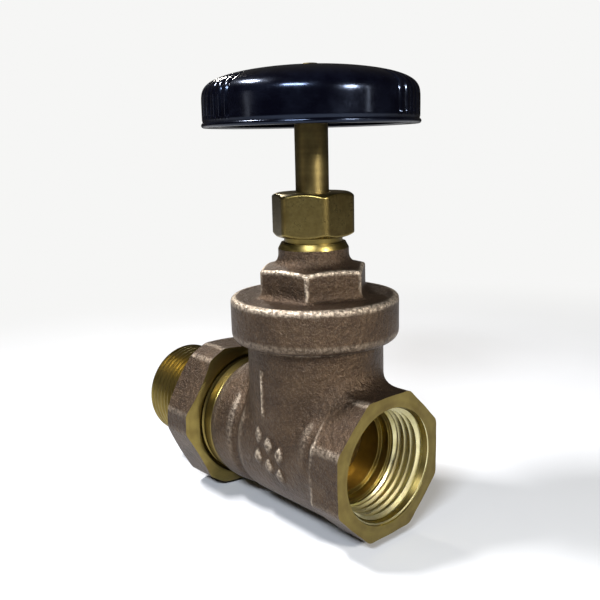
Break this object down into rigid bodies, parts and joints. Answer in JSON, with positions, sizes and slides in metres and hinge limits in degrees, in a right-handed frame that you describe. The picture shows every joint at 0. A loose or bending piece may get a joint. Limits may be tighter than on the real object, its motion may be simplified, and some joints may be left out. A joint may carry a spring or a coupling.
{
  "type": "gate valve",
  "caption": "Bronze gate valve with a dished handwheel on a plain stem, hexagonal packing nut, screw-over bonnet, octagonal threaded inlet and a union tailpiece outlet.",
  "frame": {"origin": "centre of the internally threaded inlet's end face, on the pipe's axis", "axes": "+X along the pipe, out of the inlet; +Z along the stem, towards the handwheel; +Y completes the right-handed frame"},
  "size_m": [0.1008, 0.0604, 0.1316],
  "materials": {
    "cast_bronze": "sand-cast bronze, dull with machined brass-yellow faces",
    "turned_brass": "turned and milled brass, satin",
    "wedge_bronze": "cast bronze with lapped faces",
    "black_phenolic": "compression-moulded phenolic, glossy",
    "plated_steel": "zinc plated steel",
    "plate_aluminium": "stamped blank disc, satin",
    "graphite_packing": "braided graphite, matt",
    "fibre_gasket": "pressed fibre sheet, matt"
  },
  "bodies": {
    "valve_body": {"body": "cast_bronze", "bonnet": "cast_bronze", "bonnet_gasket": "fibre_gasket", "stem_retainer": "turned_brass", "packing_washer": "turned_brass", "packing_ring_1": "graphite_packing", "packing_ring_2": "graphite_packing", "packing_ring_3": "graphite_packing"},
    "spindle": {"stem": "turned_brass", "handwheel": "black_phenolic", "wheel_hub": "plated_steel", "wheel_plate": "plate_aluminium", "wheel_washer": "plated_steel", "wheel_nut": "turned_brass"},
    "wedge": {"wedge": "wedge_bronze"},
    "gland": {"packing_gland": "turned_brass"},
    "packing_nut": {"packing_nut": "turned_brass"},
    "tail": {"tailpiece": "turned_brass"},
    "union_nut": {"union_nut": "cast_bronze"}
  },
  "joints": [
    {"name": "wheel_turn", "type": "hinge", "parent": "valve_body", "child": "spindle", "pos_m": [-0.029, 0, 0], "axis": [0, 0, 1], "range_deg": [0, 2880]},
    {"name": "wedge_lift", "type": "slide", "parent": "valve_body", "child": "wedge", "axis": [0, 0, 1], "range_m": [0, 0.0255]},
    {"name": "gland_rise", "type": "slide", "parent": "valve_body", "child": "gland", "axis": [0, 0, 1], "range_m": [0, 0.0031]},
    {"name": "packing_nut_turn", "type": "hinge", "parent": "gland", "child": "packing_nut", "pos_m": [-0.029, 0, 0.067], "axis": [0, 0, 1], "range_deg": [0, 720]},
    {"name": "tail_slide", "type": "slide", "parent": "valve_body", "child": "tail", "axis": [-1, 0, 0], "range_m": [0, 0.0081]},
    {"name": "union_nut_turn", "type": "hinge", "parent": "tail", "child": "union_nut", "pos_m": [-0.0685, 0, 0], "axis": [-1, 0, 0], "range_deg": [0, 1440]}
  ],
  "couplings": [
    {"joint": "wedge_lift", "follows": "wheel_turn", "m_per_rad": 0.00050532},
    {"joint": "gland_rise", "follows": "packing_nut_turn", "m_per_rad": 0.00023873},
    {"joint": "tail_slide", "follows": "union_nut_turn", "m_per_rad": 0.00031831}
  ]
}
